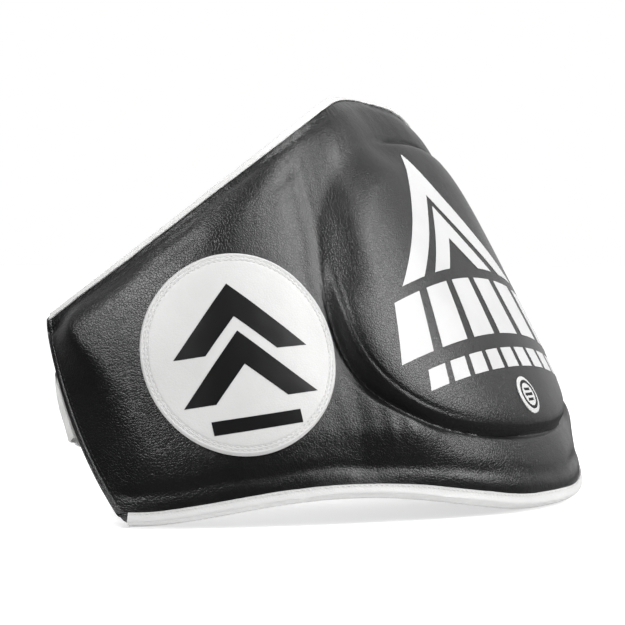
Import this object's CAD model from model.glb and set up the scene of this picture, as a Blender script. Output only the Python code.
import bpy
import math
import numpy as np
from mathutils import Matrix

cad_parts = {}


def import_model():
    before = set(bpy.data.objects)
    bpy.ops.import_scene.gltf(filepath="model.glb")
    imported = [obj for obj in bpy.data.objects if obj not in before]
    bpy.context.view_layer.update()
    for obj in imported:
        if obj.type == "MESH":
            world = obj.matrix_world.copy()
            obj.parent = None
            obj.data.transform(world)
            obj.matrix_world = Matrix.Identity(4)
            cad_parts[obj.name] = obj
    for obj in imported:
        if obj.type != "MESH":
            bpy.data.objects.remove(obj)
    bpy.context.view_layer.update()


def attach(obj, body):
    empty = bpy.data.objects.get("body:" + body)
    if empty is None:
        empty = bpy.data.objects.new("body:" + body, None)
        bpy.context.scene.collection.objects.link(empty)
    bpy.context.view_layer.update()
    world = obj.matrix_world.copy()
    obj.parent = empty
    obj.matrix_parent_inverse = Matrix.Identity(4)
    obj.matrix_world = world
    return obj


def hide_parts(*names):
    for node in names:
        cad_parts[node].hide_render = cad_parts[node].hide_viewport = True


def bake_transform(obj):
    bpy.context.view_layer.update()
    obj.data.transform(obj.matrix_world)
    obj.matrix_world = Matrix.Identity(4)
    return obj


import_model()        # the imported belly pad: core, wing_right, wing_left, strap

# ---------------------------------------------------------------- camera
AZ, EL = math.radians(-60.8857), math.radians(1.2943)
BACK = np.array([math.sin(AZ) * math.cos(EL), -math.cos(AZ) * math.cos(EL), math.sin(EL)])
RIGHT = np.array([math.cos(AZ), math.sin(AZ), 0.0])
UP = np.cross(BACK, RIGHT)
TARGET = np.array([0, -0.0507698 + 0.090658, 0.1379321 + 0.006]) + RIGHT * -0.0181329
cam = bpy.data.cameras.new("camera")
cam.sensor_fit = "HORIZONTAL"
cam.sensor_width = 36.0
cam.lens = 150.10
cam.clip_end = 50
cam_ob = bpy.data.objects.new("camera", cam)
bpy.context.collection.objects.link(cam_ob)
m = Matrix.Identity(4)
for i in range(3):
    m[i][0], m[i][1], m[i][2] = RIGHT[i], UP[i], BACK[i]
    m[i][3] = (TARGET + BACK * 2.0307924)[i]
cam_ob.matrix_world = m
bpy.context.scene.camera = cam_ob

# ---------------------------------------------------------------- the pad's surface, in millimetres, as the CAD draws it
TA, TB, TC = 0.19597, 0.19051, 0.21582
S1, S2 = 121.9, 304.6
FRONT_Y, Z_LIFT, Y_SHIFT = -237.1, 6.0, 90.658
FOLD, FOLD_DEPTH, DOME_H, DOME_W, DOME_UP, DOME_LOW = 196.2, 3.0, 173.6, 194.5, 131.5, 121.5
END_LOW, END_HIGH, END_BOW = 367.3, 466.7, 19.6
PAD_T, EDGE_T = 33.0, 6.8
DISC_S, DISC_H, DISC_A, DISC_B = 281.7, 120.1, 69.1, 76.0
rad = np.radians


def smooth(t):
    c = np.clip(t, 0, 1)
    return c * c * (3 - 2 * c)


def head(s):
    return TA * np.minimum(s, S1) + TB * np.clip(s - S1, 0, S2 - S1) + TC * np.maximum(s - S2, 0)


def plan(s):
    x = np.zeros_like(s)
    y = np.full_like(s, FRONT_Y)
    t0 = np.zeros_like(s)
    for k, lo, hi in ((TA, 0, S1), (TB, S1, S2), (TC, S2, 1e4)):
        t1 = t0 + k * np.clip(s - lo, 0, hi - lo)
        kr = math.radians(k)
        x = x + (np.sin(rad(t1)) - np.sin(rad(t0))) / kr
        y = y + (np.cos(rad(t0)) - np.cos(rad(t1))) / kr
        t0 = t1
    return x, y


def lean(s):
    return 19.557 + 10.243 / np.sqrt(1 + (s / 152.3) ** 2)


def P(s, h, d):
    s, h, d = np.broadcast_arrays(np.asarray(s, float), np.asarray(h, float), np.asarray(d, float))
    a = np.abs(s)
    sg = np.where(s < 0, -1.0, 1.0)
    t, l = rad(head(a)), rad(lean(a))
    f = d * np.cos(l) - h * np.sin(l)
    x, y = plan(a)
    return np.stack([-sg * (x + np.sin(t) * f), y - np.cos(t) * f + Y_SHIFT, h * np.cos(l) + d * np.sin(l) + Z_LIFT], -1)


def stretch(s, h, d=0.0):
    a = np.abs(s)
    k = np.where(a <= S1, TA, np.where(a <= S2, TB, TC))
    return 1 + rad(k) * (d * np.cos(rad(lean(a))) - h * np.sin(rad(lean(a))))


def end_at(v):
    v = np.asarray(v, float)
    c = np.clip(1 - v / 0.022, 0, 1) ** 2 + np.clip(1 - (1 - v) / 0.020, 0, 1) ** 2
    return END_LOW + (END_HIGH - END_LOW) * v + 4 * END_BOW * v * (1 - v) - 6 * (1 - np.sqrt(np.maximum(1 - c, 0)))


def h_low(s):
    q = np.abs(s) / END_LOW
    arch = q * q * (1 - q) * (208.7 + 5 * q - 222.3 * q * q)
    a = arch - 3 * (1 - q) * (q < 1)
    return np.where(q < 0.5, 0.5 * (a + np.sqrt(a * a + 7.0)), a) - 1.2 * np.minimum(q, 1) * q


def h_top(s):
    a = np.abs(s) / 10
    return 355 - 0.2 * (np.sqrt(a * a + 291) - 17.06) - 0.1316 * a * a + 0.000867 * a ** 3


def h_at(s, v):
    return h_low(s) + (h_top(s) - h_low(s)) * v


def edges(s, h):
    a = np.abs(s)
    lo, hi = h_low(a), h_top(a)
    v = np.clip((h - lo) / (hi - lo), 0, 1)
    return h - lo, hi - h, np.maximum(end_at(v) - a, 0)


def thick(s, h):
    eb, et, ee = edges(s, h)
    c = np.clip(np.minimum(np.minimum(eb, et), ee) / 62, 0, 1)
    g = 1 - 0.46 * np.exp(-((np.abs(s) - FOLD) / 24) ** 2)
    return EDGE_T + (PAD_T - EDGE_T) * (1 - (1 - c) ** 2) * g + roll(s, et)


def noise(x, y, seed):
    """Smooth gradient noise, about -1 to 1, the same every run."""
    x, y = np.broadcast_arrays(np.asarray(x, float), np.asarray(y, float))
    xi, yi = np.floor(x), np.floor(y)
    fx, fy = x - xi, y - yi

    def corner(a, b):
        n = np.sin(a * 127.1 + b * 311.7 + seed * 74.7) * 43758.5453
        t = (n - np.floor(n)) * 2 * np.pi
        return np.cos(t) * (x - a) + np.sin(t) * (y - b)

    u, w = fx ** 3 * (fx * (fx * 6 - 15) + 10), fy ** 3 * (fy * (fy * 6 - 15) + 10)
    n0 = corner(xi, yi) * (1 - u) + corner(xi + 1, yi) * u
    n1 = corner(xi, yi + 1) * (1 - u) + corner(xi + 1, yi + 1) * u
    return (n0 * (1 - w) + n1 * w) * 1.5


def bump(x, c, w):
    return np.exp(-((x - c) / w) ** 2)


def dome(s, h):
    """How far the block's wall has risen (0 to 1), the rounded-oval radius, and how soft the wall is."""
    x, y = s / DOME_W, np.where(h > DOME_H, (h - DOME_H) / DOME_UP, (h - DOME_H) / DOME_LOW)
    n = 2.6 - 0.1 * np.clip(y * 3, -1, 1)
    r = (np.abs(x) ** n + np.abs(y) ** n) ** (1 / n) + 1e-9
    u = np.hypot(x, y) + 1e-9
    soft = smooth((y / u + 0.30) / 0.55) * (0.12 + 0.88 * smooth((s + 30) / 90))
    d = np.sqrt(1 - np.clip(r, 0, 0.985) ** 14) * (1 - smooth((r - 0.968) / 0.042)) * (1 - soft) + (1 - smooth((r - 0.74) / 0.29)) * soft
    return d, r, soft


def in_disc(s, h):
    """1 at the rim of the side disc, less inside."""
    return np.sqrt(((np.abs(s) - DISC_S) * stretch(DISC_S, h) / DISC_A) ** 2 + ((h - DISC_H) / DISC_B) ** 2)


def roll(s, et):
    """How far the top edge rolls back behind the crown, most at the middle."""
    m = smooth((135 - np.abs(s)) / 95)
    return 8.0 * m * np.clip(1 - et / 15, 0, 1.25) ** 2


def relief(s, h):
    """Height of the leather over the reference surface."""
    a = np.abs(s)
    eb, et, ee = edges(s, h)
    c = np.clip(np.minimum(np.minimum(eb - 17, et - 9), ee - 9) / 52, 0, 1)
    fill = 1 - (1 - c) ** 2
    wing = 3.0 + 4.0 * (1 - np.exp(-(np.maximum(a - FOLD, 0) / 34) ** 2))
    v = np.clip(eb / (eb + et), 0, 1)
    up = v ** 1.45
    fade = 28 + 26 * smooth((0.78 - v) / 0.36)
    wing = wing + 7.0 * 4 * up * (1 - up) * smooth((a - FOLD - 14) / 101) * smooth(ee / fade)   # stuffed a little fuller, most above the middle
    c2 = np.clip(np.minimum(eb - 3, et - 2) / 42, 0, 1)
    core = (3.0 + 6.5 * smooth((FOLD - a) / 60)) * (1 - (1 - c2) ** 2)
    wall, r, soft = dome(s, h)
    crisp = 1 - soft
    lo = np.where(a > FOLD, wing * (1 - (1 - c2) ** 2) * (1 - (1 - np.clip(ee / (fade + 3), 0, 1)) ** 2), core)
    d = lo + wall * (18.6 + 2 * (1 - r * r) - lo)
    d = d - 1.7 * crisp * bump(r, 1.010, 0.013)        # the sewn groove round the block
    d = d - 0.8 * crisp * smooth((a - 60) / 80) * bump(r, 0.945, 0.006)       # and the seam along its upper edge
    d = d + 0.2 * crisp * smooth((a - 60) / 80) * bump(r, 0.972, 0.010)
    under = smooth((in_disc(s, h) - 1.0) / 0.12)   # the leather lies flat under the disc
    fine = 0.25 + 0.75 * under
    # stitched valleys where the foam stops short of the bindings
    gone = smooth(ee / 20)
    d = d - gone * ((1.1 - 0.9 * smooth((165 - a) / 70)) * bump(eb, 19 + 1.5 * noise(s / 40, 3.1, 5), 4.5) + 0.6 * bump(et, 12, 3.5))
    # gathers along the bottom binding, and longer pulls above it
    gather = 0.55 + 0.45 * noise(s / 90, 0.5, 31)
    d = d + gather * (0.28 * noise(s / 9.5 + 0.25 * eb / 8, eb / 34, 7) * bump(eb, 12, 8)
                      + 0.45 * noise(s / 21, eb / 46, 8) * bump(eb, 24, 13))
    press = smooth((165 - a) / 70) * (0.75 + 0.25 * noise(s / 40, 0.6, 33))
    line = 23 + 4 * noise(s / 60, 1.4, 34)
    d = d + press * (1.2 * bump(eb, 12, 6) - 1.2 * (0.55 + 0.6 * noise(s / 33, 2.4, 35)) * bump(eb, line, 4.5))
    d = d + 0.45 * noise(s / 8, et / 22, 9) * bump(et, 8, 7) - roll(s, et)
    # pulls along the top edge of the wings
    along = np.clip(noise(s / 55, 1.7, 11) * 1.8 + 0.25, 0, 1) * smooth((a - 190) / 40)
    d = d - 1.5 * along * bump(et, 19 + 3 * noise(s / 50, 0.3, 12), 4.5)
    along2 = np.clip(noise(s / 70, 7.7, 13) * 1.8, 0, 1) * smooth((a - 150) / 40)
    d = d - 1.1 * along2 * bump(et, 36 + 5 * noise(s / 60, 0.9, 14), 7)
    # soft upright folds in the hollow between the dome and the disc
    win = smooth((h - 60) / 90) * smooth((et - 8) / 50)
    off = 5 * noise(h / 60, 2.2, 15) + 0.03 * (h - 200)
    f1 = a - off
    d = d + win * (-0.45 * bump(f1, 197, 7) + 0.5 * bump(f1, 207, 9) - 0.5 * bump(f1, 218, 9) + 0.3 * bump(f1, 231, 11)) * fine
    # shallow upright pulls below the dome's lower corner
    d = d + 0.8 * noise(s / 13, h / 90, 16) * bump(a, 165, 34) * bump(h, 62, 34) * (r > 1.03)
    # the margin swells below the dome's lower corner and falls away towards the disc
    d = d + 6.4 * bump(a, 156, np.where(a < 156, 34, 70)) * smooth((125 - h) / 55) * smooth((eb - 18) / 30) * smooth((r - 1.02) / 0.05)
    # broad unevenness of stuffed leather
    calm = 1 - 0.45 * smooth((1.0 - r) / 0.1)
    d = d + calm * fine * (0.60 * noise(s / 85, h / 85, 1) + 0.16 * noise(s / 29, h / 29, 2)) + 0.05 * fine * noise(s / 9, h / 9, 3)
    return d


# ---------------------------------------------------------------- mesh helpers
def obj(name, verts, faces, mats, mat_index=None, sharp=40):
    me = bpy.data.meshes.new(name)
    me.from_pydata((np.asarray(verts, float) / 1000.0).tolist(), [], faces)
    me.update()
    for mt in mats:
        me.materials.append(mt)
    if mat_index is not None:
        me.polygons.foreach_set("material_index", mat_index)
    me.polygons.foreach_set("use_smooth", [True] * len(me.polygons))
    import bmesh
    bm = bmesh.new()
    bm.from_mesh(me)
    bmesh.ops.remove_doubles(bm, verts=bm.verts, dist=1e-7)
    bmesh.ops.recalc_face_normals(bm, faces=bm.faces)
    bm.to_mesh(me)
    bm.free()
    if sharp:
        me.set_sharp_from_angle(angle=math.radians(sharp))
    ob = bpy.data.objects.new(name, me)
    bpy.context.collection.objects.link(ob)
    return ob


def slab_data(A, B, base=0):
    n, m = A.shape[0], A.shape[1]
    verts = np.concatenate([A.reshape(-1, 3), B.reshape(-1, 3)])
    c = n * m
    i, j = np.meshgrid(np.arange(n - 1), np.arange(m - 1), indexing="ij")
    a = (i * m + j).ravel()
    top = np.stack([a, a + m, a + m + 1, a + 1], 1)
    bot = np.stack([c + a, c + a + 1, c + a + m + 1, c + a + m], 1)
    k = np.arange(n - 1) * m
    s1 = np.stack([k, c + k, c + k + m, k + m], 1)
    k2 = k + m - 1
    s2 = np.stack([k2, k2 + m, c + k2 + m, c + k2], 1)
    q = np.arange(m - 1)
    s3 = np.stack([q, q + 1, c + q + 1, c + q], 1)
    q2 = q + (n - 1) * m
    s4 = np.stack([q2, c + q2, c + q2 + 1, q2 + 1], 1)
    f = np.concatenate([top, bot, s1, s2, s3, s4]) + base
    return verts, f


def slab(name, A, B, mats, sharp=40):
    v, f = slab_data(A, B)
    return obj(name, v, f.tolist(), mats, sharp=sharp)


def slabs(name, pairs, mats, sharp=40):
    V, F, n = [], [], 0
    for A, B in pairs:
        v, f = slab_data(A, B, n)
        V.append(v)
        F += f.tolist()
        n += len(v)
    return obj(name, np.concatenate(V), F, mats, sharp=sharp)


def ring_solid(name, A, B, mats, sharp=40):
    """Rings round a middle, A outside and B inside: arrays (rings, sectors, 3), first ring innermost."""
    n, m = A.shape[0], A.shape[1]
    va = np.concatenate([A.reshape(-1, 3), A[0].mean(0)[None], B.reshape(-1, 3), B[0].mean(0)[None]])
    c = n * m + 1
    F = []
    j = np.arange(m)
    jn = (j + 1) % m
    F += np.stack([j, jn, np.full(m, c - 1)], 1).tolist()
    F += np.stack([c + jn, c + j, np.full(m, 2 * c - 1)], 1).tolist()
    for i in range(n - 1):
        F += np.stack([i * m + j, (i + 1) * m + j, (i + 1) * m + jn, i * m + jn], 1).tolist()
        F += np.stack([c + i * m + j, c + i * m + jn, c + (i + 1) * m + jn, c + (i + 1) * m + j], 1).tolist()
    k = (n - 1) * m
    F += np.stack([k + j, c + k + j, c + k + jn, k + jn], 1).tolist()
    return obj(name, va, F, mats, sharp=sharp)


def spaced(points, step):
    """Numbers from the first of points to the last, with the given step in each stretch."""
    out = [points[0]]
    for (a, b), st in zip(zip(points, points[1:]), step):
        n = max(1, int(round((b - a) / st)))
        out += [a + (b - a) * i / n for i in range(1, n + 1)]
    return np.array(out)


# ---------------------------------------------------------------- materials
def nodes_of(name):
    mt = bpy.data.materials.new(name)
    mt.use_nodes = True
    nt = mt.node_tree
    b = nt.nodes["Principled BSDF"]
    return mt, nt, b


def tex_coord(nt):
    t = nt.nodes.new("ShaderNodeTexCoord")
    return t.outputs["Object"]


def new(nt, kind, **vals):
    n = nt.nodes.new(kind)
    for k, v in vals.items():
        if k in n.inputs:
            n.inputs[k].default_value = v
        else:
            setattr(n, k, v)
    return n


def ramp(nt, src, stops):
    r = nt.nodes.new("ShaderNodeValToRGB")
    e = r.color_ramp.elements
    while len(e) > 1:
        e.remove(e[-1])
    for i, (p, c) in enumerate(stops):
        x = e[0] if i == 0 else e.new(p)
        x.position = p
        x.color = (c, c, c, 1) if not isinstance(c, tuple) else (*c, 1)
    nt.links.new(src, r.inputs[0])
    return r.outputs[0]


def leather(name, dark, light, rough, grain=1.0, spec=0.5, coat=0.0):
    mt, nt, b = nodes_of(name)
    co = tex_coord(nt)
    L = nt.links.new
    big = new(nt, "ShaderNodeTexNoise", Scale=14.0, Detail=4.0, Roughness=0.6)
    L(co, big.inputs["Vector"])
    fine = new(nt, "ShaderNodeTexNoise", Scale=300.0, Detail=4.0, Roughness=0.6)
    L(co, fine.inputs["Vector"])
    # pebbled grain: cells of about a millimetre, warped a little
    warp = new(nt, "ShaderNodeVectorMath", operation="MULTIPLY_ADD")
    wn = new(nt, "ShaderNodeTexNoise", Scale=260.0, Detail=1.0)
    L(co, wn.inputs["Vector"])
    L(wn.outputs["Color"], warp.inputs[0])
    warp.inputs[1].default_value = (0.0012, 0.0012, 0.0012)
    L(co, warp.inputs[2])
    cell = new(nt, "ShaderNodeTexVoronoi", Scale=520.0, feature="DISTANCE_TO_EDGE")
    L(warp.outputs[0], cell.inputs["Vector"])
    cellr = ramp(nt, cell.outputs["Distance"], [(0.0, 0.0), (0.14, 0.75), (0.4, 1.0)])
    col = ramp(nt, big.outputs["Fac"], [(0.3, dark), (0.7, light)])
    L(col, b.inputs["Base Color"])
    rr = new(nt, "ShaderNodeMapRange")
    rr.inputs["To Min"].default_value = rough - 0.05
    rr.inputs["To Max"].default_value = rough + 0.07
    L(big.outputs["Fac"], rr.inputs["Value"])
    L(rr.outputs[0], b.inputs["Roughness"])
    b.inputs["Specular IOR Level"].default_value = spec
    if coat:
        b.inputs["Coat Weight"].default_value = coat
        b.inputs["Coat Roughness"].default_value = 0.3
    b1 = new(nt, "ShaderNodeBump")
    b1.inputs["Strength"].default_value = 0.45 * grain
    b1.inputs["Distance"].default_value = 0.00022
    L(cellr, b1.inputs["Height"])
    b2 = new(nt, "ShaderNodeBump")
    b2.inputs["Strength"].default_value = 0.45 * grain
    b2.inputs["Distance"].default_value = 0.0005
    L(fine.outputs["Fac"], b2.inputs["Height"])
    L(b1.outputs[0], b2.inputs["Normal"])
    L(b2.outputs[0], b.inputs["Normal"])
    return mt


def woven(name, dark, light, rough, scale, strength, direction=(1, 0, 0)):
    mt, nt, b = nodes_of(name)
    L = nt.links.new
    co = tex_coord(nt)
    w1 = new(nt, "ShaderNodeTexWave", Scale=scale, Distortion=0.6, Detail=1.0, wave_type="BANDS", bands_direction="DIAGONAL")
    L(co, w1.inputs["Vector"])
    w2 = new(nt, "ShaderNodeTexWave", Scale=scale * 1.1, Distortion=0.6, Detail=1.0, wave_type="BANDS", bands_direction="Z")
    L(co, w2.inputs["Vector"])
    mx = new(nt, "ShaderNodeMath", operation="MAXIMUM")
    L(w1.outputs["Fac"], mx.inputs[0])
    L(w2.outputs["Fac"], mx.inputs[1])
    n = new(nt, "ShaderNodeTexNoise", Scale=60.0, Detail=3.0)
    L(co, n.inputs["Vector"])
    L(ramp(nt, n.outputs["Fac"], [(0.3, dark), (0.7, light)]), b.inputs["Base Color"])
    b.inputs["Roughness"].default_value = rough
    b1 = new(nt, "ShaderNodeBump")
    b1.inputs["Strength"].default_value = strength
    b1.inputs["Distance"].default_value = 0.0005
    L(mx.outputs[0], b1.inputs["Height"])
    L(b1.outputs[0], b.inputs["Normal"])
    return mt


def printed(name, dark, light, rough):
    mt, nt, b = nodes_of(name)
    L = nt.links.new
    co = tex_coord(nt)
    n = new(nt, "ShaderNodeTexNoise", Scale=420.0, Detail=3.0)
    L(co, n.inputs["Vector"])
    big = new(nt, "ShaderNodeTexNoise", Scale=20.0, Detail=3.0)
    L(co, big.inputs["Vector"])
    L(ramp(nt, big.outputs["Fac"], [(0.3, dark), (0.7, light)]), b.inputs["Base Color"])
    b.inputs["Roughness"].default_value = rough
    b1 = new(nt, "ShaderNodeBump")
    b1.inputs["Strength"].default_value = 0.25
    b1.inputs["Distance"].default_value = 0.0002
    L(n.outputs["Fac"], b1.inputs["Height"])
    L(b1.outputs[0], b.inputs["Normal"])
    return mt


M_BLACK = leather("leather_black", (0.0040, 0.0040, 0.0043), (0.0065, 0.0065, 0.0070), 0.30)
M_HEM = leather("leather_black_hem", (0.0040, 0.0040, 0.0043), (0.0065, 0.0065, 0.0070), 0.32)
M_WHITE = leather("leather_white", (0.57, 0.57, 0.565), (0.63, 0.63, 0.625), 0.42, grain=0.5)
M_TAPE = leather("binding_white", (0.62, 0.62, 0.615), (0.70, 0.70, 0.695), 0.5, grain=0.6)
M_LINING = woven("lining_black", (0.010, 0.010, 0.011), (0.018, 0.018, 0.019), 0.8, 420.0, 0.35)
M_PRINT_W = printed("print_white", (0.57, 0.57, 0.57), (0.63, 0.63, 0.63), 0.42)
M_PRINT_K = printed("print_black", (0.004, 0.004, 0.0043), (0.007, 0.007, 0.0075), 0.38)
M_PRINT_K.node_tree.nodes["Principled BSDF"].inputs["Specular IOR Level"].default_value = 0.22
M_THREAD = woven("thread_white", (0.60, 0.60, 0.59), (0.72, 0.72, 0.71), 0.7, 1500.0, 0.3)
M_THREAD_K = woven("thread_black", (0.01, 0.01, 0.01), (0.02, 0.02, 0.02), 0.7, 1500.0, 0.3)
M_WEB = woven("webbing_white", (0.66, 0.66, 0.65), (0.76, 0.76, 0.75), 0.75, 330.0, 0.6)
M_HOOK = woven("hook_and_loop", (0.012, 0.012, 0.012), (0.03, 0.03, 0.03), 0.95, 700.0, 0.9)

# ---------------------------------------------------------------- columns and rows shared by the layers
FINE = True
K = 1.0 if FINE else 2.0
core_cols = spaced([0, 0.4, 120, 160, FOLD], [0.4, 2.6 * K, 1.9 * K, 1.2 * K])
wing_u = spaced([0, 0.12, 0.9, 1.0], [0.0055 * K, 0.0095 * K, 0.008 * K])[1:]
rows = spaced([0, 0.09, 0.34, 0.78, 0.95, 1.0], [0.005 * K, 0.0042 * K, 0.0068 * K, 0.0048 * K, 0.005 * K])


def half_grid(sign, cols=None, wu=None, vv=None):
    cols = core_cols if cols is None else cols
    wu = wing_u if wu is None else wu
    vv = rows if vv is None else vv
    S = np.concatenate([np.broadcast_to(cols[:, None], (len(cols), len(vv))),
                        FOLD + (end_at(vv)[None, :] - FOLD) * wu[:, None]])
    V = np.broadcast_to(vv[None, :], S.shape)
    return S * sign, h_at(S, V)


# a point follows the front before A and the wing after B
def blend_points(side):
    t = rad(head(np.array(FOLD)))
    d = np.array([-side * math.cos(t), math.sin(t), 0.0])
    c = P(side * FOLD, 100.0, FOLD_DEPTH) / 1000
    return tuple(c - d * 0.016), tuple(c + d * 0.004)


BLEND = {1: blend_points(1), -1: blend_points(-1)}
WING = {1: "wing_right", -1: "wing_left"}
SIDE = {1: "right", -1: "left"}


def bend(ob):
    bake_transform(ob)


CORE_NODES = ["front_cover", "dome_foam_outer", "dome_foam_middle", "front_foam_inner"]
for side in (1, -1):
    nm = SIDE[side]
    S, H = half_grid(side)
    d = relief(S, H)
    A = P(S, H, d)
    B = P(S, H, -thick(S, H) + 1.4)
    ob = slab("pad_" + nm, A, B, [M_BLACK], sharp=60)
    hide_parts(*CORE_NODES, nm + "_wing_cover", nm + "_wing_foam_firm", nm + "_wing_foam_soft")
    bend(ob)

    # lining, with shallow quilting dips
    S, H = half_grid(side, spaced([0, 0.4, FOLD], [0.4, 5 * K]), spaced([0, 1], [0.018 * K])[1:], spaced([0, 1], [0.014 * K]))
    T = thick(S, H)
    w = 0.5 * noise(S / 60, H / 60, 21) + 0.25 * noise(S / 22, H / 22, 22)
    ob = slab("lining_" + nm, P(S, H, -T + 1.2 + 0 * w), P(S, H, -T - 0.3 + 0.4 * w), [M_LINING], sharp=60)
    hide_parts("front_lining", nm + "_wing_lining")
    bend(ob)


# ---------------------------------------------------------------- bindings
def tape(name, side, up, w, mat):
    cols = spaced([0, 0.4, FOLD, (END_LOW if up > 0 else END_HIGH) - 3.0], [0.4, 2.2 * K, 2.2 * K])
    s = cols[:, None]
    h0 = h_low(s) if up > 0 else h_top(s)
    wv = w * (1 + 0.05 * noise(s / 30, 0.2, 41 + up))
    fl = np.array([1.0, 0.97, 0.75, 0.5, 0.25, 0.08])
    puck = 0.22 * noise(s / 6.5, 0.4, 42 + up)
    back = 0.0 if up > 0 else roll(s, 0 * s)
    O, I = [], []

    def pt(h, d, lst):
        q = P(side * s, h, d)
        q[..., 2] = np.maximum(q[..., 2], 0.0)
        lst.append(q[:, 0])

    stitch = 0.80
    for f in fl:
        h = h0 + up * wv * f
        e = relief(side * s, h)
        t = 0.55 if f == 1.0 else 1.45 + puck - 0.5 * math.exp(-((f - stitch) / 0.10) ** 2)
        pt(h, e + t, O)
        pt(h, e + 0.12, I)
    for a in np.linspace(75, -75, 9):
        ca, sa = math.cos(math.radians(a)) ** 0.75, math.sin(math.radians(a))
        pt(h0 - up * 1.4 * ca, -EDGE_T / 2 - back + (EDGE_T / 2 + 1.3) * sa, O)
        pt(h0 - up * 0.4 * ca, -EDGE_T / 2 - back + (EDGE_T / 2 + 0.3) * sa, I)
    for f in fl[::-1]:
        h = h0 + up * wv * f
        e = -thick(side * s, h)
        t = 0.5 if f == 1.0 else 1.35 + puck - 0.4 * math.exp(-((f - stitch) / 0.10) ** 2)
        pt(h, e - t - 0.5, O)
        pt(h, e - 0.45, I)
    return slab(name, np.stack(O, 1), np.stack(I, 1), [mat], sharp=55)


def stitches(name, path, normals, length, every, radius, mat, squash=0.75):
    """Small thread stitches along a dense path of points (mm); each dips at its ends."""
    seg = np.linalg.norm(np.diff(path, axis=0), axis=1)
    run = np.concatenate([[0], np.cumsum(seg)])
    n = int(run[-1] // every)
    V, F = [], []
    prof = [(-0.5, 0.25, -0.30), (-0.38, 0.8, -0.02), (0.0, 1.0, 0.12), (0.38, 0.8, -0.02), (0.5, 0.25, -0.30)]
    for i in range(n):
        c = (i + 0.5) * run[-1] / n

        def at(x):
            return np.array([np.interp(x, run, path[:, k]) for k in range(3)])

        nn = np.array([np.interp(c, run, normals[:, k]) for k in range(3)])
        nn /= np.linalg.norm(nn)
        t = at(c + 0.5) - at(c - 0.5)
        t /= np.linalg.norm(t)
        b = np.cross(nn, t)
        base = len(V)
        for u, rr, lift in prof:
            o = at(np.clip(c + u * length, 0, run[-1])) + nn * (radius * (0.4 + lift * 2))
            for k in range(6):
                an = k * math.pi / 3
                V.append(o + (b * math.cos(an) + nn * math.sin(an) * squash) * radius * rr)
        for r_ in range(len(prof) - 1):
            for k in range(6):
                a0 = base + r_ * 6 + k
                a1 = base + r_ * 6 + (k + 1) % 6
                F.append([a0, a1, a1 + 6, a0 + 6])
        F.append([base + k for k in range(5, -1, -1)])
        F.append([base + (len(prof) - 1) * 6 + k for k in range(6)])
    return obj(name, np.array(V), F, [mat], sharp=0)


def path_on(s, h, lift, side, under=None):
    e = relief(side * s, h) + lift if under is None else under(side * s, h)
    return P(side * s, h, e), P(side * s, h, e + 1) - P(side * s, h, e)


for side in (1, -1):
    nm = SIDE[side]
    for up, w, place in ((1, 6.6, "bottom"), (-1, 5.8, "top")):
        ob = tape("binding_%s_%s" % (place, nm), side, up, w, M_TAPE)
        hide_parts("front_%s_binding" % place, "%s_wing_%s_binding" % (nm, place))
        bend(ob)
        s = np.arange(1.0, (END_LOW if up > 0 else END_HIGH) - 6, 1.0)
        h0 = h_low(s) if up > 0 else h_top(s)
        pa, na = path_on(s, h0 + up * w * 0.80, 0.95, side)
        ob = stitches("binding_stitching_%s_%s" % (place, nm), pa, na, 3.1, 4.2, 0.36, M_THREAD)
        bend(ob)

    # turned hem round the wing's free end
    v = spaced([0.026, 0.972], [0.010 * K])
    L = end_at(v)
    O, I = [], []

    def pt(s, d, lst):
        lst.append(P(side * s, h_at(s, v), d))

    for f in (1.0, 0.9, 0.7, 0.4, 0.12):
        s = L - 4.2 * f
        e = relief(side * s, h_at(s, v))
        pt(s, e + (0.15, 0.35, 0.7, 0.9, 0.95)[(1.0, 0.9, 0.7, 0.4, 0.12).index(f)], O)
        pt(s, e + 0.02, I)
    for a in np.linspace(70, -70, 9):
        ca, sa = math.cos(math.radians(a)) ** 0.75, math.sin(math.radians(a))
        pt(L + 1.6 * ca, -EDGE_T / 2 + (EDGE_T / 2 + 1.1) * sa, O)
        pt(L + 0.4 * ca, -EDGE_T / 2 + (EDGE_T / 2 + 0.2) * sa, I)
    for f in (0.12, 0.4, 0.7, 0.97, 1.0):
        s = L - 9 * f
        e = -thick(s, h_at(s, v))
        pt(s, e - (0.7 if f == 1.0 else 1.4), O)
        pt(s, e - 0.4, I)
    ob = slab("hem_" + nm, np.stack(O, 1), np.stack(I, 1), [M_HEM], sharp=55)
    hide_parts(nm + "_wing_end_hem")
    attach(ob, WING[side])
    vv = np.linspace(0.06, 0.95, 200)
    ss = end_at(vv) - 6.8
    hh = h_at(ss, vv)
    pa, na = path_on(ss, hh, -0.12, side)
    ob = stitches("hem_stitching_" + nm, pa, na, 3.0, 4.0, 0.34, M_THREAD_K)
    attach(ob, WING[side])


# ---------------------------------------------------------------- side discs
def on_disc(x, y):
    h = DISC_H + y
    return DISC_S + x / stretch(DISC_S, h), h


def disc_top(s, h):
    """Top of the applied disc: a thin padded leather patch, dented along its two rows of stitching."""
    r = in_disc(s, h)
    t = 2.3 - 0.55 * bump(r, 0.925, 0.010) - 0.55 * bump(r, 0.957, 0.010)
    t = t - 1.5 * smooth((r - 0.975) / 0.025) ** 2 + 0.12 * noise(s / 12, h / 12, 51)
    return relief(s, h) + t


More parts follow.
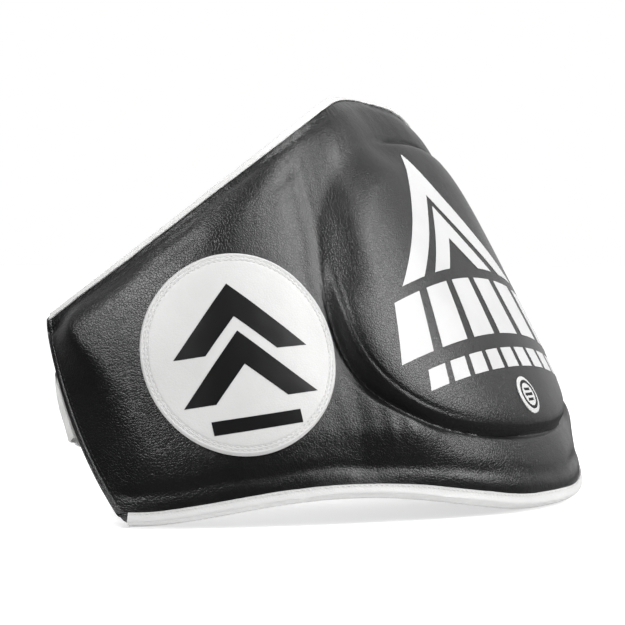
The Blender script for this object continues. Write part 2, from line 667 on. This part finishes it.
def tile(c, step, at, low, high):
    c = np.array(c, float)
    n = max(1, int(round(max(np.linalg.norm(c[1] - c[0]), np.linalg.norm(c[2] - c[3])) / step)))
    k = max(1, int(round(max(np.linalg.norm(c[3] - c[0]), np.linalg.norm(c[2] - c[1])) / step)))
    u, w = np.linspace(0, 1, n + 1)[:, None, None], np.linspace(0, 1, k + 1)[None, :, None]
    g = (c[0] * (1 - u) + c[1] * u) * (1 - w) + (c[3] * (1 - u) + c[2] * u) * w
    s, h = at(g[..., 0], g[..., 1])
    return P(s, h, high(s, h)), P(s, h, low(s, h))


def chevron(x0, x1, y, y0, y1, step, at, low, high):
    """Both arms as one strip, so that no gap shows at the point."""
    n = max(2, int(round(max(x1, y1 - y) / step)))
    k = max(2, int(round((x1 - x0) / step)))
    t = np.linspace(-1, 1, 2 * n + 1)[:, None]
    w = np.linspace(0, 1, k + 1)[None, :]
    a = np.abs(t)
    fx = (x0 + (x1 - x0) * w) * t
    fy = y + ((y0 + (y1 - y0) * w) - y) * (1 - a)
    s, h = at(fx, fy)
    return P(s, h, high(s, h)), P(s, h, low(s, h))


CT, ST = math.cos(math.radians(10)), math.sin(math.radians(10))
for side in (1, -1):
    nm = SIDE[side]
    rr = np.concatenate([np.linspace(0.04, 0.9, 22), np.array([0.912, 0.92, 0.928, 0.936, 0.945, 0.952, 0.96, 0.968, 0.976, 0.984, 0.992, 0.997, 1.0])])
    al = np.linspace(0, 2 * np.pi, 145)[:-1]
    x, y = DISC_A * rr[:, None] * np.cos(al), DISC_B * rr[:, None] * np.sin(al)
    s, h = on_disc(x, y)
    s = s * side
    ob = ring_solid("disc_" + nm, P(s, h, disc_top(s, h)), P(s, h, relief(s, h) + 0.25), [M_WHITE], sharp=70)
    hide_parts(nm + "_disc")
    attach(ob, WING[side])

    def at(x, y, side=side):
        # turned a little outwards
        s, h = on_disc(x * CT + y * ST, y * CT - x * ST)
        return s * side, h

    low = lambda s, h: disc_top(s, h) - 0.10
    high = lambda s, h: disc_top(s, h) + 0.22
    pairs = [chevron(25, 47, y0, y0 + 27, y0 + 52, 2.6, at, low, high) for y0 in (0, -36)]
    pairs.append(tile([[-31, -58], [31, -58], [31, -48], [-31, -48]], 2.6, at, low, high))
    ob = slabs("disc_print_" + nm, pairs, [M_PRINT_K], sharp=50)
    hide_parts(nm + "_disc_emblem")
    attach(ob, WING[side])

    pieces = []
    V, N = [], []
    for q, r in enumerate((0.925, 0.957)):
        al = np.linspace(0, 2 * np.pi, 500)
        s, h = on_disc(DISC_A * r * np.cos(al), DISC_B * r * np.sin(al))
        s = s * side
        e = disc_top(s, h)
        ob = stitches("disc_stitching_%d_%s" % (q + 1, nm), P(s, h, e), P(s, h, e + 1) - P(s, h, e), 3.0, 4.1, 0.40, M_THREAD)
        if q == 0:
            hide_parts(nm + "_disc_stitching")
        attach(ob, WING[side])

# ---------------------------------------------------------------- front marks and badge
ident = lambda x, y: (x, y)
low = lambda s, h: relief(s, h) - 0.10
high = lambda s, h: relief(s, h) + 0.30
drop = lambda x, y: (x * (1 - 0.0009 * (y - 100)), y - 0.00105 * x * x)
pord = lambda x, y: (-x * (1 - 0.0009 * (y - 100)), y - 0.00105 * x * x)
pairs = [chevron(92, 131, 188, 252, 290, 2.6, drop, low, high),
         chevron(36, 70, 188, 214, 242, 2.6, drop, low, high)]
for i in range(-3, 3):
    pairs.append(tile([[i * 52 + 5, 131], [i * 52 + 44, 131], [i * 52 + 48, 179], [i * 52 + 9, 179]], 2.6, pord, low, high))
for i in range(-4, 5):
    pairs.append(tile([[i * 28.4 - 11, 103], [i * 28.4 + 10, 103], [i * 28.4 + 11, 119], [i * 28.4 - 10, 119]], 2.6, pord, low, high))
ob = slabs("front_print", pairs, [M_PRINT_W], sharp=50)
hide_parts("front_emblem")
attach(ob, "core")


def badge_ring(r0, r1, n):
    rr = np.linspace(r0, r1, n)
    al = np.linspace(0, 2 * np.pi, 73)[:-1]
    return 15 * rr[:, None] * np.cos(al), 79 + 15 * rr[:, None] * np.sin(al)


x, y = badge_ring(0.05, 1.0, 12)
top = 0.9 - 0.5 * smooth((np.hypot(x / 15, (y - 79) / 15) - 0.93) / 0.07)
ob = ring_solid("badge", P(x, y, relief(x, y) + 0.35 + top), P(x, y, relief(x, y) + 0.1), [M_WHITE], sharp=60)
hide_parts("front_badge")
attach(ob, "core")
rr = np.array([0.62, 0.66, 0.74, 0.78])
al = np.linspace(0, 2 * np.pi, 97)
x, y = 15 * rr[:, None] * np.cos(al), 79 + 15 * rr[:, None] * np.sin(al)
pairs = [(P(x, y, relief(x, y) + 1.42), P(x, y, relief(x, y) + 1.15))]
for k in (-1, 0, 1):
    yy = 79 + k * 4.2
    hw = 6.2 if k == 0 else 4.6
    pairs.append(tile([[-hw, yy - 1.1], [hw, yy - 1.1], [hw, yy + 1.1], [-hw, yy + 1.1]], 1.6, ident, lambda s, h: relief(s, h) + 1.15, lambda s, h: relief(s, h) + 1.42))
ob = slabs("badge_print", pairs, [M_PRINT_K], sharp=50)
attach(ob, "core")

# ---------------------------------------------------------------- strap
unit = lambda v: v / np.linalg.norm(v)
E = lambda v: P(end_at(v), h_at(end_at(v), v), 0.0)
TIP_V = 0.455
tip = E(TIP_V)
tip_w = unit(E(TIP_V + 0.12) - E(TIP_V - 0.12))
Le = end_at(TIP_V)
t_, l_ = rad(head(Le)), rad(lean(Le))
n0 = np.array([-math.sin(t_) * math.cos(l_), -math.cos(t_) * math.cos(l_), math.sin(l_)])
tip_n = unit(n0 - tip_w * (n0 @ tip_w))
tip_a = np.cross(tip_n, tip_w)
pivot = tip + tip_a * 5.2 - tip_n * 12.8
b0 = pivot + tip_a * 0.6
b1 = b0 + tip_a * 21 - tip_n * 5
b3 = np.array([-18, 46 + Y_SHIFT, 80.0])
b2 = b3 + np.array([-130, 18, -4.0])


def bez(t):
    t = np.asarray(t)[..., None]
    return b0 * (1 - t) ** 3 + b1 * 3 * t * (1 - t) ** 2 + b2 * 3 * t * t * (1 - t) + b3 * t ** 3


def bez_t(t):
    t = np.asarray(t)[..., None]
    v = (b1 - b0) * (1 - t) ** 2 + (b2 - b1) * 2 * t * (1 - t) + (b3 - b2) * t * t
    return v / np.linalg.norm(v, axis=-1, keepdims=True)


def strap_frame(t):
    a = bez_t(t)
    k = smooth(np.asarray(t) / 0.6)[..., None]
    w = tip_w * (1 - k) + np.array([0, 0, 1.0]) * k
    w = w - a * (a * w).sum(-1, keepdims=True)
    w /= np.linalg.norm(w, axis=-1, keepdims=True)
    return w, np.cross(a, w)


def strap_at(t, x, y):
    w, n = strap_frame(t)
    x = np.asarray(x)
    cup = 4.2 * (smooth((t - 0.03) / 0.1) * (1 - smooth((t - 0.14) / 0.35)))[:, None] * (x / HW)[None, :] ** 2   # the band's edges curl in where it turns
    return bez(t)[:, None, :] + w[:, None, :] * x[None, :, None] + n[:, None, :] * np.asarray(y)[..., None] - tip_a * cup[..., None]


HW, HT = 27.0, 1.2
t = np.linspace(0, 1, int(150 / K)) ** 1.3
x = np.concatenate([[-HW, -HW + 0.5], np.linspace(-HW + 2, HW - 2, 17), [HW - 0.5, HW]])
edge = np.where(np.abs(x) > HW - 0.3, 0.35, np.where(np.abs(x) > HW - 1, 0.85, 1.0))
ripple = 0.10 * np.cos(x / HW * np.pi * 6)[None, :] + 0 * t[:, None]
ob = slab("strap_band", strap_at(t, x, HT * edge[None, :] * np.ones((len(t), 1)) + ripple * (edge == 1)), strap_at(t, x, -HT * edge[None, :] * np.ones((len(t), 1)) - ripple * (edge == 1)), [M_WEB], sharp=50)
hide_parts("strap_webbing")
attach(ob, "strap")


def panel(name, t0, t1, x0, x1, y0, y1, mat, node, lump=0.0):
    t = np.linspace(t0, t1, int(36 / K))
    x = np.linspace(x0, x1, 25)
    u = (t - t0) / (t1 - t0)
    e = np.minimum(np.minimum(u, 1 - u)[:, None] * 22, np.minimum(x - x0, x1 - x)[None, :] / 2.0)
    r = smooth(e / 1.0)
    dy = (y1 - y0)
    yy = y0 + dy * (0.45 + 0.55 * r) + lump * noise(t[:, None] * 260, x[None, :] / 1.4, 61) * r
    ob = slab(name, strap_at(t, x, yy), strap_at(t, x, np.full_like(yy, y0)), [mat], sharp=60)
    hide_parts(node)
    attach(ob, "strap")


panel("strap_hook", 0.78, 0.985, -HW + 3, HW - 3, HT + 0.15, HT + 1.9, M_HOOK, "strap_hook_panel", 0.18)
panel("strap_tab", 0.955, 0.992, -HW + 1, HW - 1, -HT - 0.15, -HT - 1.6, M_HEM, "strap_end_tab", 0.05)

V = []
pa, na = [], []
tt = np.linspace(0.79, 0.975, 60)
w, n = strap_frame(tt)
loop = []
for xx in (-HW + 5, HW - 5):
    p = bez(tt) + w * xx - n * (HT + 0.2)
    ob = stitches("strap_stitching_%s" % ("a" if xx < 0 else "b"), p if xx < 0 else p[::-1], -n if xx < 0 else -n[::-1], 3.0, 4.0, 0.4, M_THREAD_K)
    if xx < 0:
        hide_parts("strap_stitching")
    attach(ob, "strap")

# sewn end of the strap on the inside of the right wing
tip_t = np.array([-math.cos(t_), math.sin(t_), 0])
tip_up = unit(P(Le, 120, 0) - P(Le, 20, 0))


def anchor_sh(x, y):
    q = tip_a * x[..., None] + tip_w * y[..., None]
    return Le + (q @ tip_t) / stretch(Le, 90.0), h_at(Le, TIP_V) + q @ tip_up


def anchor(x0, x1, y0, y1, depth, t, nx, ny, lump=0.0):
    X, Y = np.meshgrid(np.linspace(x0, x1, nx), np.linspace(y0, y1, ny), indexing="ij")
    s, h = anchor_sh(X, Y)
    d0 = -thick(s, h) - depth
    e = smooth(np.minimum(Y - y0, y1 - Y) / 1.2)
    return P(s, h, d0), P(s, h, d0 - t * (0.5 + 0.5 * e) + lump * np.cos(Y / HW * np.pi * 6))


A, B = anchor(-62, 2.6, -HW, HW, 2.6, 2.4, 34, 33, 0.08)
ob = slab("strap_sewn_end", A, B, [M_WEB], sharp=50)
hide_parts("strap_anchor")
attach(ob, "wing_right")
for q, (xs, ys) in enumerate([((-58, -58), (-22, 22)), ((-40, -40), (-22, 22)), ((-58, -40), (22, 22)), ((-58, -40), (-22, -22)), ((-58, -40), (-22, 22)), ((-58, -40), (22, -22))]):
    X, Y = np.linspace(xs[0], xs[1], 60), np.linspace(ys[0], ys[1], 60)
    s, h = anchor_sh(X, Y)
    d0 = -thick(s, h) - 5.05
    ob = stitches("strap_box_stitching_%d" % (q + 1), P(s, h, d0), P(s, h, d0 - 1) - P(s, h, d0), 2.8, 3.6, 0.38, M_THREAD_K)
    if q == 0:
        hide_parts("strap_anchor_stitching")
    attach(ob, "wing_right")

# loop panel that the strap lands on
corners = np.array([[92, -26], [134, -20], [146, 26], [96, 26]], float)


def panel_pts(u, w, off):
    g = (corners[0] * (1 - u) + corners[1] * u) * (1 - w) + (corners[3] * (1 - u) + corners[2] * u) * w
    s, h = -(DISC_S + g[..., 0]), 100 + g[..., 1]
    return P(s, h, relief(s, h) + off)


u, w = np.meshgrid(np.linspace(0, 1, 41), np.linspace(0, 1, 41), indexing="ij")
e = smooth(np.minimum(np.minimum(u, 1 - u), np.minimum(w, 1 - w)) / 0.05)
off = 0.5 + 1.6 * e + 0.2 * noise(u * 30, w * 30, 71) * e
ob = slab("loop_patch", panel_pts(u[..., None], w[..., None], off), panel_pts(u[..., None], w[..., None], 0.15), [M_HOOK], sharp=60)
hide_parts("loop_panel")
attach(ob, "wing_left")
q = np.linspace(0, 1, 60)
o = 0.05
run = np.concatenate([np.stack([o + (1 - 2 * o) * q, 0 * q + o], 1), np.stack([0 * q + 1 - o, o + (1 - 2 * o) * q], 1)[1:],
                      np.stack([1 - o - (1 - 2 * o) * q, 0 * q + 1 - o], 1)[1:], np.stack([0 * q + o, 1 - o - (1 - 2 * o) * q], 1)[1:]])
p0 = panel_pts(run[:, :1], run[:, 1:], 2.15)
p1 = panel_pts(run[:, :1], run[:, 1:], 3.15)
ob = stitches("loop_patch_stitching", p0, p1 - p0, 2.8, 3.7, 0.38, M_THREAD_K)
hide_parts("loop_panel_stitching")
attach(ob, "wing_left")

# ---------------------------------------------------------------- floor, light
me = bpy.data.meshes.new("floor")
me.from_pydata([(-30, -30, 0), (30, -30, 0), (30, 30, 0), (-30, 30, 0)], [], [(0, 1, 2, 3)])
floor = bpy.data.objects.new("floor", me)
bpy.context.collection.objects.link(floor)
fm, nt, b = nodes_of("floor")
b.inputs["Roughness"].default_value = 0.9
b.inputs["Emission Color"].default_value = (1, 1, 1, 1)
# the sweep brightens away from the pad
fc = new(nt, "ShaderNodeTexCoord")
fl = new(nt, "ShaderNodeVectorMath", operation="LENGTH")
nt.links.new(fc.outputs["Object"], fl.inputs[0])
fr = new(nt, "ShaderNodeMapRange", interpolation_type="SMOOTHSTEP")
fr.inputs["From Min"].default_value = 0.3
fr.inputs["From Max"].default_value = 1.6
fr.inputs["To Min"].default_value = 0.60
fr.inputs["To Max"].default_value = 0.95
nt.links.new(fl.outputs["Value"], fr.inputs["Value"])
eye = new(nt, "ShaderNodeLightPath")
tone = new(nt, "ShaderNodeMapRange")
tone.inputs["To Min"].default_value = 0.12
tone.inputs["To Max"].default_value = 0.80
seen = new(nt, "ShaderNodeMath", operation="MAXIMUM")
nt.links.new(eye.outputs["Is Camera Ray"], seen.inputs[0])
half = new(nt, "ShaderNodeMath", operation="MULTIPLY")
nt.links.new(eye.outputs["Is Diffuse Ray"], half.inputs[0])
half.inputs[1].default_value = 0.80
nt.links.new(half.outputs[0], seen.inputs[1])
nt.links.new(seen.outputs[0], tone.inputs["Value"])
nt.links.new(tone.outputs[0], b.inputs["Base Color"])
glow = new(nt, "ShaderNodeMath", operation="MULTIPLY")
nt.links.new(fr.outputs[0], glow.inputs[0])
nt.links.new(seen.outputs[0], glow.inputs[1])
nt.links.new(glow.outputs[0], b.inputs["Emission Strength"])
b.inputs["Specular IOR Level"].default_value = 0.1
me.materials.append(fm)

world = bpy.data.worlds.new("world")
bpy.context.scene.world = world
world.use_nodes = True
wt = world.node_tree
bg = wt.nodes["Background"]
bg.inputs[0].default_value = (1, 1, 1, 1)
# a white sweep behind the pad and a dimmer room in front of it
wc = new(wt, "ShaderNodeTexCoord")
dot = new(wt, "ShaderNodeVectorMath", operation="DOT_PRODUCT")
dot.inputs[1].default_value = tuple(float(c) for c in -BACK)
wt.links.new(wc.outputs["Generated"], dot.inputs[0])
mr = new(wt, "ShaderNodeMapRange", interpolation_type="SMOOTHSTEP")
mr.inputs["From Min"].default_value = 0.15
mr.inputs["From Max"].default_value = 0.85
mr.inputs["To Min"].default_value = 0.05
mr.inputs["To Max"].default_value = 0.85
wt.links.new(dot.outputs["Value"], mr.inputs["Value"])
lp = new(wt, "ShaderNodeLightPath")
mx = new(wt, "ShaderNodeMath", operation="MAXIMUM")
wt.links.new(mr.outputs[0], mx.inputs[0])
wt.links.new(lp.outputs["Is Camera Ray"], mx.inputs[1])
wt.links.new(mx.outputs[0], bg.inputs[1])


def area(name, loc, look, size, power, sy=None):
    l = bpy.data.lights.new(name, "AREA")
    l.shape = "RECTANGLE"
    l.size = size
    l.size_y = sy or size
    l.energy = power
    ob = bpy.data.objects.new(name, l)
    bpy.context.collection.objects.link(ob)
    d = np.array(look, float) - np.array(loc, float)
    d /= np.linalg.norm(d)
    z = -d
    x = np.cross([0, 0, 1], z)
    x /= np.linalg.norm(x)
    y = np.cross(z, x)
    mm = Matrix.Identity(4)
    for i in range(3):
        mm[i][0], mm[i][1], mm[i][2], mm[i][3] = x[i], y[i], z[i], loc[i]
    ob.matrix_world = mm
    return ob


def around(x, y, z):
    """A place given as right, towards the camera and up from the pad's middle."""
    b = np.array([BACK[0], BACK[1], 0]) / math.hypot(BACK[0], BACK[1])
    return RIGHT * x + b * y + np.array([0, 0, z])


look = (0, 0, 0.15)
area("key", around(-0.67, 0.74, 1.26), (-0.05, 0, 0.30), 0.98, 14.6, 0.42)
area("right", around(1.36, 0.26, 1.15), look, 1.05, 24, 0.9)
area("mid", around(0.60, 0.42, 1.34), look, 0.5, 4.5, 0.32)
area("top", around(-0.2, -0.5, 1.9), look, 1.4, 6, 0.9)

sc = bpy.context.scene
sc.view_settings.view_transform = "Standard"
sc.view_settings.look = "None"
sc.view_settings.exposure = 0.0
sc.view_settings.gamma = 1.0
